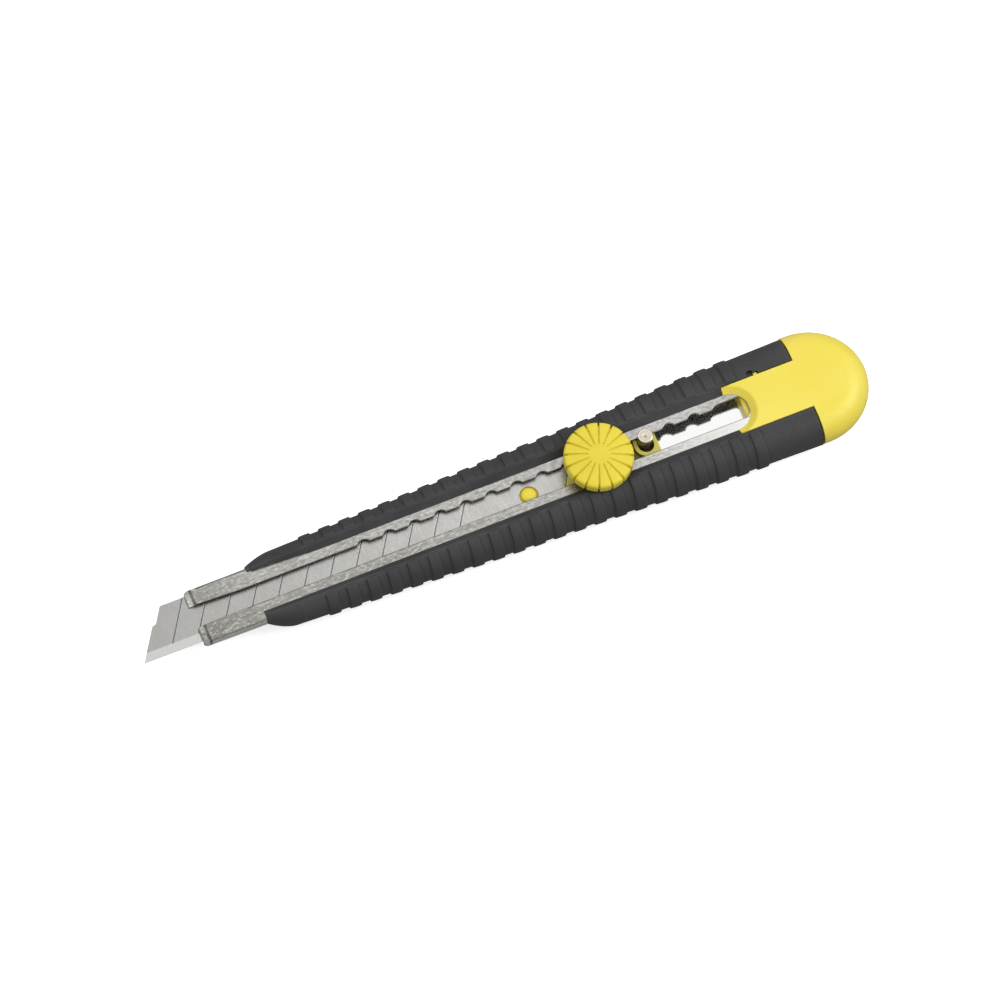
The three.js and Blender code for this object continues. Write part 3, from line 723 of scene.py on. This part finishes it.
def handle_core_piece():
    nose = [NOSE_X + NOSE_ROUND * share for share in (0, 0.1, 0.3, 0.6, 1)]
    places = nose + list(np.linspace(NOSE_X + 0.5, GRIP_FRONT_X, 28))
    places += list(np.linspace(GRIP_FRONT_X + 1, BODY_BACK_X, 48))
    lip_z = RAIL_TOP + SEAT_GAP
    seat_low = (-BEYOND, -SEAT_HALF, channel_low[2] - SEAT_GAP)
    half_groove = [(LIP_INNER_Y, lip_z - 0.2), (LIP_INNER_Y, lip_z), (GROOVE_TOP_Y, TOP_FACE)]
    half_groove.append((GROOVE_TOP_Y + 1, TOP_FACE + 1))
    groove_section = np.vstack((half_groove, mirrored(np.array(half_groove))))
    tongue_half = GRIP_INNER_Y - SEAM + 0.05
    tongue_low = (TONGUE_FRONT_X - 0.05, -tongue_half, RAIL_TOP)
    piece = carve(
        handle_form("handle_core_shell", places),
        grip_room(1),
        grip_room(-1),
        block("seat", seat_low, (BEYOND, SEAT_HALF, lip_z)),
        solid("groove", *skin([at_station(x, groove_section) for x in (-BEYOND, BEYOND)])),
        block("tongue_seat", tongue_low, (BEYOND, tongue_half, TOP_FACE + 1)),
        before_lip(1, LIP_FRONT_LEFT_X),
        before_lip(-1, LIP_FRONT_RIGHT_X),
        lip_taper(),
        *catch_room(),
    )
    return ease_edges(piece, 0.05, angle=50)


# ---------------------------------------------------------------- slotted channel
def slot_outline():
    """The slot's outline, open at the front, with the scallops along its +Y edge."""
    arc_y = SLOT_HALF + NOTCH_DEPTH - NOTCH_RADIUS
    opening = math.asin((SLOT_HALF - arc_y) / NOTCH_RADIUS)
    outline = [(channel_low[0] - 1, -SLOT_HALF - 0.1), (channel_low[0] + 10, -SLOT_HALF)]
    arcs = [(SLOT_END_X - SLOT_CORNER, SLOT_CORNER - SLOT_HALF, SLOT_CORNER, -math.pi / 2, 0, 14)]
    arcs.append((SLOT_END_X - NOTCH_RADIUS, arc_y, NOTCH_RADIUS, 0, math.pi / 2, 14))
    for i in range(NOTCH_COUNT):
        start = opening if i else math.pi / 2
        arcs.append((NOTCH_LAST_X - i * NOTCH_PITCH, arc_y, NOTCH_RADIUS, start, math.pi - opening, 19))
    for centre_x, centre_y, radius, start, end, count in arcs:
        for angle in np.linspace(start, end, count):
            outline.append((centre_x + radius * math.cos(angle), centre_y + radius * math.sin(angle)))
    outline += [(channel_low[0] + 10, SLOT_HALF), (channel_low[0] - 1, SLOT_HALF + 0.45)]
    return outline


def tube_ring(x, half, low, high, bend):
    """A box section with rounded corners, at x."""
    corners = [(half - bend, high - bend, 0), (-half + bend, high - bend, 90)]
    corners += [(-half + bend, low + bend, 180), (half - bend, low + bend, 270)]
    section = []
    for y, z, start in corners:
        for angle in np.radians(np.linspace(start, start + 90, 9)):
            section.append((y + bend * math.cos(angle), z + bend * math.sin(angle)))
    return at_station(x, np.array(section))


def prong_corner(front, side):
    """What is cut off a prong to round its outer front corner in plan."""
    centre_x, centre_y = front + PRONG_CORNER, CHANNEL_HALF - PRONG_CORNER
    outline = [(front - 1, centre_y), (front - 1, CHANNEL_HALF + 1), (centre_x, CHANNEL_HALF + 1)]
    for a in np.linspace(math.pi / 2, math.pi, 10):
        outline.append((centre_x + PRONG_CORNER * math.cos(a), centre_y + PRONG_CORNER * math.sin(a)))
    return prism("prong_corner", np.array(outline) * (1, side), 0, RAIL_TOP + 1)


def blade_channel_piece():
    front, back = channel_low[0], channel_high[0]
    low, high = channel_low[2], RAIL_TOP
    outer = skin([tube_ring(x, CHANNEL_HALF, low, high, CHANNEL_BEND) for x in (front, back)])
    inner_bend = 0.12
    hollow_half = CHANNEL_HALF - SHEET
    hollow = [tube_ring(x, hollow_half, low + SHEET, high - SHEET, inner_bend) for x in (front - 1, back + 1)]
    underside = [
        (front - 1, low - 1),
        (NOSE_X + 1.8, low - 1),
        (NOSE_X + 1.8, low + SHEET / 2),
        (NOSE_X, high - 2.15),
        (front + 6, high - 2),
        (front - 1, high - 1.75),
    ]
    slope = [(front - 1, high + 1), (front - 1, high - PRESSED_DROP), (front, high - PRESSED_DROP)]
    slope += [(front + PRESSED_LENGTH, high), (front + PRESSED_LENGTH, high + 1)]
    pressed_end = [
        (front - 0.5, high - PRESSED_DROP + 0.01),
        (front + 1, high - PRESSED_DROP + 0.01),
        (front + 1.7, high - 0.9 * SHEET),
        (front + 2.4, high - 0.9 * SHEET),
        (front + 2.4, high - 0.01),
        (front - 0.5, high - 0.01),
    ]
    end_half = CHANNEL_HALF - SHEET / 2
    piece = carve(
        solid("slotted_channel", *outer),
        solid("hollow", *skin(hollow)),
        prism("underside", underside, -8, 8, "side"),
    )
    carve(piece, prism("pressed_end", pressed_end, -end_half, end_half, "side"), operation="UNION")
    carve(
        piece,
        prism("slope", slope, -8, 8, "side"),
        prism("slot", slot_outline(), high - SHEET - 0.5, high + 1),
        prong_corner(front, 1),
        prong_corner(front, -1),
    )
    return ease_edges(piece, 0.07)


# ---------------------------------------------------------------- end cap
def cap_half_outline(inset, edge):
    """The dome's plan on the +Y side, from the seat to the tip, drawn in by inset."""
    reach = CAP_END_X - DOME_CENTRE_X
    angle = np.linspace(math.pi / 2, 0, 40)
    point = np.column_stack((reach * np.cos(angle), CAP_HALF_WIDTH * np.sin(angle)))
    normal = np.column_stack((np.cos(angle) / reach, np.sin(angle) / CAP_HALF_WIDTH))
    normal /= np.linalg.norm(normal, axis=1)[:, None]
    dome = point - inset * normal + (DOME_CENTRE_X, 0)
    return np.vstack(((CAP_SEAT_X + edge, CAP_HALF_WIDTH - inset), dome))


def front_feature(kind, edge, height):
    """The middle of the cap's front line, from +Y to -Y: flat, or the tongue, the plug or the snap slot."""
    seat = CAP_SEAT_X + edge
    arc = np.linspace(math.pi / 2, -math.pi / 2, 49)
    if kind == "tongue":
        recess = mix(LIP_INNER_Y - 0.08, TONGUE_HALF + 0.02 + 2 * edge, height)
        half = TONGUE_HALF - edge
        tab_back, tab_front = TAB_X + TAB_LENGTH, TAB_X
        tab_low, tab_high = 0.32, 0.66  # shares of the tongue's thickness
        reach = half + (TAB_REACH - TONGUE_HALF if tab_low < height < tab_high else 0.0)
        sides = [(seat, half), (tab_back, half), (tab_back - 0.08, reach), (tab_front + 0.08, reach)]
        sides += [(tab_front, half), (TONGUE_FRONT_X, half)]
        hollow = [
            (TONGUE_FRONT_X + recess * math.cos(a), float(np.clip(recess * math.sin(a), -half, half)))
            for a in arc
        ]
        other = [(TONGUE_FRONT_X, -half), (tab_front, -half), (tab_back, -half), (seat, -half)]
        return np.array(sides + hollow + other)
    half, x = {
        "flat": (TONGUE_HALF, seat),
        "plug": (PLUG_HALF, PLUG_FRONT_X),
        "slot": (SNAP_SLOT_HALF, CAP_SEAT_X + SNAP_SLOT_DEPTH),
    }[kind]
    across = half * np.linspace(1, -1, 49)
    sides = [(mix(seat, x, share), half) for share in (0, 0.2, 0.4, 0.6, 0.8, 1)]
    other = [(mix(seat, x, share), -half) for share in (1, 0.7, 0.3, 0)]
    return np.array(sides + [(x, y) for y in across] + other)


def end_cap_piece():
    middle = TOP_FACE * CAP_WIDEST
    plug = (channel_low[2] + SHEET + 0.1, RAIL_TOP - SHEET - 0.1)
    edges = {"slot": SNAP_SLOT_HEIGHTS, "plug": plug, "tongue": (TONGUE_BOTTOM, TOP_FACE)}
    quarter = np.linspace(0, math.pi / 2, 17)
    levels = [middle - middle * math.cos(angle) for angle in quarter]
    levels += [middle + (TOP_FACE - middle) * math.sin(angle) for angle in quarter]
    levels += [height for pair in edges.values() for height in pair]
    levels += [TOP_FACE - step for step in (0.03, 0.08, 0.15, 0.4, 0.41, 0.7, 0.71)]
    levels = sorted(set(round(float(height), 4) for height in levels))

    def ring(z, kind):
        half_height = middle if z < middle else TOP_FACE - middle
        inset = CAP_ROUND * (1 - math.sqrt(max(0, 1 - ((z - middle) / half_height) ** 2)))
        from_face = min(z, TOP_FACE - z)
        edge = CAP_EDGE * (1 - math.sqrt(max(0, 1 - max(0, 1 - from_face / CAP_EDGE) ** 2)))
        height = (z - TONGUE_BOTTOM) / (TOP_FACE - TONGUE_BOTTOM)
        side = cap_half_outline(inset, edge)
        plan = np.vstack((side, (side * (1, -1))[-2::-1], front_feature(kind, edge, height)[::-1]))
        return np.column_stack((plan, np.full(len(plan), z)))

    def kind_at(z):
        return next((kind for kind, (low, high) in edges.items() if low < z < high), "flat")

    rings = []
    for i, z in enumerate(levels):
        below = kind_at(z - 1e-3) if i else kind_at(z + 1e-3)
        above = kind_at(z + 1e-3) if i + 1 < len(levels) else below
        rings.append(ring(z, below))
        if above != below:
            rings.append(ring(z, above))
    return solid("end_cap_moulding", *skin(rings))


# ---------------------------------------------------------------- thumbwheel
def wheel_profile():
    """(radius, height above the rails) of the wheel from its top centre out and down to its bore."""
    dome = wheel_high[2] - RAIL_TOP
    rounded = [(0.0, dome), (0.7, dome), (1.3, dome), (EYE_RADIUS, dome - 0.02)]
    rounded += [(EYE_RADIUS + 0.15, dome - 0.03), (2.5, dome - 0.06)]
    rounded += [(3.1, dome - 0.11), (3.7, dome - 0.16), (4.3, dome - 0.22), (4.8, dome - 0.27)]
    rounded.append((5.3, dome - 0.33))
    for a in np.radians(np.linspace(80, 0, 8)):
        across = WHEEL_RADIUS - RIM_ROUND * (1 - math.cos(a))
        rounded.append((across, RIM_SIDE_TOP + RIM_ROUND * math.sin(a)))
    side = [(WHEEL_RADIUS, 3.1), (WHEEL_RADIUS, 2.4)]
    side += [(WHEEL_RADIUS - 0.06, 2.1), (WHEEL_RADIUS - 0.2, 1.88)]
    under = [(WHEEL_RADIUS - 0.4, RIM_BOTTOM), (5.2, RIM_BOTTOM), (HUB_RADIUS + 0.15, RIM_BOTTOM)]
    under.append((HUB_RADIUS, RIM_BOTTOM - 0.15))
    bore_radius, bore_top = nut_high[1] + 0.02, nut_high[2] - RAIL_TOP + 0.1
    hub = [(HUB_RADIUS, 0.15), (HUB_RADIUS - 0.1, 0.06), (bore_radius + 0.08, 0.05)]
    bore = [(bore_radius, 0.15), (bore_radius, bore_top), (0.0, bore_top)]
    return rounded + side + under + hub + bore


def fluted(radius, height, to_flute):
    """Where a point of the wheel's profile ends up, to_flute radians round from the nearest flute."""
    distance = radius * to_flute
    outer = radius - (WHEEL_RADIUS - RIM_NOTCH_LENGTH)
    if height >= RIM_SIDE_TOP and radius > EYE_RADIUS:
        outward = (radius - EYE_RADIUS) / (WHEEL_RADIUS - EYE_RADIUS)
        half_flute = mix(*FLUTE_HALF_WIDTHS, outward)
        deep = float(smoothstep((half_flute - distance) / (0.67 * half_flute)))
        petal_half = radius * math.pi / WHEEL_PETALS
        crown = PETAL_CROWN * outward * ((distance / petal_half) ** 0.6 - 1)
        height += crown - mix(*FLUTE_DEPTHS, outward) * deep
    if outer > 0:
        notch = float(smoothstep((0.22 - distance) / 0.12))
        radius -= RIM_NOTCH * notch * min(1, outer / 0.5)
    return radius, height


def lock_wheel_piece():
    petal = 360 / WHEEL_PETALS
    near_flute = [0, 0.7, 1.2, 1.6, 2.0, 2.5, 3.2, 4.2, 5.6, 7.4, 9.3]  # degrees
    steps = near_flute + [petal / 2] + [petal - step for step in near_flute[:0:-1]]
    profile = wheel_profile()
    points = [(WHEEL_X, 0, RAIL_TOP + profile[0][1])]
    for i in range(WHEEL_PETALS):
        for step in steps:
            angle = math.radians(i * petal + step)
            for point in profile[1:-1]:
                radius, height = fluted(*point, math.radians(min(step, petal - step)))
                x, y = WHEEL_X + radius * math.cos(angle), radius * math.sin(angle)
                points.append((x, y, RAIL_TOP + height))
    points.append((WHEEL_X, 0, RAIL_TOP + profile[-1][1]))
    rows, columns = len(profile) - 2, WHEEL_PETALS * len(steps)
    faces = []
    for i in range(columns):
        a, b = 1 + i * rows, 1 + (i + 1) % columns * rows
        faces.append((0, b, a))
        faces += [(a + k, b + k, b + k + 1, a + k + 1) for k in range(rows - 1)]
        faces.append((a + rows - 1, b + rows - 1, len(points) - 1))
    return solid("thumbwheel", points, faces)


# ---------------------------------------------------------------- small parts
def refined(node, name, edge):
    """A copy of a CAD node in millimetres, with whole flat faces and edges rounded by edge."""
    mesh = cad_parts[node].data.copy()
    mesh.transform(Matrix.Scale(1 / MM, 4))
    if "custom_normal" in mesh.attributes:
        mesh.attributes.remove(mesh.attributes["custom_normal"])
    piece = bpy.data.objects.new(name, mesh)
    bpy.context.scene.collection.objects.link(piece)
    weld = piece.modifiers.new("weld", "WELD")
    weld.merge_threshold = 0.001
    flat = piece.modifiers.new("flat", "DECIMATE")
    flat.decimate_type = "DISSOLVE"
    flat.angle_limit = math.radians(0.5)
    apply_modifiers(piece)
    return ease_edges(piece, edge, segments=2)


# ---------------------------------------------------------------- pieces
finish_piece(soft_grip_piece("soft_grip_left", 1), soft_grip, "soft_grip", "handle", "grip_left", sharp=50)
finish_piece(soft_grip_piece("soft_grip_right", -1), soft_grip, "soft_grip", "handle", "grip_right", sharp=50)
finish_piece(handle_core_piece(), black_moulding, "black_moulding", "handle", "handle_core")
finish_piece(blade_channel_piece(), channel_steel, "stainless_channel", "handle", "blade_channel")
finish_piece(end_cap_piece(), cap_yellow, "yellow_cap", "end_cap", "end_cap")
finish_piece(lock_wheel_piece(), wheel_yellow, "yellow_wheel", "lock_wheel", "lock_wheel", sharp=60)

for name, node, edge, material, slot, body in (
    ("scored_blade", "snap_blade", 0.03, blade_steel, "blade_steel", "slider"),
    ("slider_moulding", "slider_carriage", 0.1, slider_yellow, "yellow_slider", "slider"),
    ("click_pin", "index_pin", 0.05, pin_steel, "turned_steel", "index_pin"),
    ("clamp_screw", "clamp_bolt", 0.06, plated_steel, "plated_steel", "clamp_bolt"),
):
    finish_piece(refined(node, name, edge), material, slot, body, node, sharp=40)

for node, material in {"index_spring": spring_steel, "wheel_nut": brass}.items():
    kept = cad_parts[node]
    kept.data.materials.clear()
    kept.data.materials.append(material)


# ---------------------------------------------------------------- floor, light and camera
WORLD_OVERHEAD = 1.0
WORLD_HORIZON = 0.3


def make_floor():
    """A white floor that looks plain to the camera and grey in the knife's reflections."""
    half = 2.0
    corners = [(-half, -half, 0), (half, -half, 0), (half, half, 0), (-half, half, 0)]
    mesh = bpy.data.meshes.new("floor")
    mesh.from_pydata(corners, [], [(0, 1, 2, 3)])
    floor = bpy.data.objects.new("floor", mesh)
    floor.location.z = -0.00002
    bpy.context.scene.collection.objects.link(floor)
    material = bpy.data.materials.new("pale_floor")
    material.use_nodes = True
    tree = material.node_tree
    shader = tree.nodes["Principled BSDF"]
    path = tree.nodes.new("ShaderNodeLightPath").outputs["Is Camera Ray"]
    for socket, hidden, seen in (("Base Color", 0.38, 0.9), ("Emission Strength", 0.0, 0.6)):
        share = tree.nodes.new("ShaderNodeMapRange")
        share.inputs["To Min"].default_value = hidden
        share.inputs["To Max"].default_value = seen
        tree.links.new(path, share.inputs["Value"])
        tree.links.new(share.outputs["Result"], shader.inputs[socket])
    shader.inputs["Roughness"].default_value = 0.9
    shader.inputs["Specular IOR Level"].default_value = 0.1
    shader.inputs["Emission Color"].default_value = (1, 1, 1, 1)
    mesh.materials.append(material)


def soft_light(name, place, target, size, power):
    data = bpy.data.lights.new(name, "AREA")
    data.shape = "RECTANGLE"
    data.size, data.size_y = size
    data.energy = power
    light = bpy.data.objects.new(name, data)
    light.location = place
    light.rotation_euler = (Vector(target) - Vector(place)).to_track_quat("-Z", "Y").to_euler()
    bpy.context.scene.collection.objects.link(light)


def make_world():
    """A studio that is bright overhead and darker towards the horizon, and white where the camera sees it."""
    world = bpy.data.worlds.new("studio")
    world.use_nodes = True
    tree = world.node_tree
    direction = tree.nodes.new("ShaderNodeTexCoord").outputs["Generated"]
    parts = tree.nodes.new("ShaderNodeSeparateXYZ")
    tree.links.new(direction, parts.inputs[0])
    overhead = tree.nodes.new("ShaderNodeMapRange")
    overhead.interpolation_type = "SMOOTHSTEP"
    overhead.inputs["From Min"].default_value = 0.15
    overhead.inputs["From Max"].default_value = 0.9
    overhead.inputs["To Min"].default_value = WORLD_HORIZON
    overhead.inputs["To Max"].default_value = WORLD_OVERHEAD
    tree.links.new(parts.outputs["Z"], overhead.inputs["Value"])
    seen = tree.nodes.new("ShaderNodeMath")
    seen.operation = "MAXIMUM"
    tree.links.new(overhead.outputs["Result"], seen.inputs[0])
    tree.links.new(tree.nodes.new("ShaderNodeLightPath").outputs["Is Camera Ray"], seen.inputs[1])
    tree.links.new(seen.outputs[0], tree.nodes["Background"].inputs["Strength"])
    tree.nodes["Background"].inputs["Color"].default_value = (1, 1, 1, 1)
    bpy.context.scene.world = world


def make_camera():
    azimuth, elevation, roll = math.radians(-28.7), math.radians(68.29), math.radians(6.086)
    lens, sensor = 300.0, 36.0
    picture_width = 177.21  # millimetres across the picture, at the target
    target = Vector((-5.5, 0.14, RAIL_TOP)) * MM
    level = math.cos(elevation)
    back = Vector((math.sin(azimuth) * level, -math.cos(azimuth) * level, math.sin(elevation)))
    right = Vector((0, 0, 1)).cross(back).normalized()
    up = back.cross(right)
    turn = Matrix.Rotation(roll, 3, back)
    right, up = turn @ right, turn @ up
    distance = lens / sensor * picture_width * MM
    data = bpy.data.cameras.new("camera")
    data.lens = lens
    data.sensor_width = sensor
    data.clip_start, data.clip_end = 0.05, 10
    camera = bpy.data.objects.new("camera", data)
    rotation = Matrix((right, up, back)).transposed()
    camera.matrix_world = Matrix.Translation(target + back * distance) @ rotation.to_4x4()
    bpy.context.scene.collection.objects.link(camera)
    bpy.context.scene.camera = camera


make_floor()
make_world()
soft_light("key", (0.45, -0.12, 0.5), (0, 0, 0), (0.35, 0.35), 1.6)
soft_light("fill", (-0.4, 0.3, 0.5), (0, 0, 0), (0.5, 0.5), 0.6)
make_camera()

view = bpy.context.scene.view_settings
view.view_transform = "Standard"
view.look = "None"
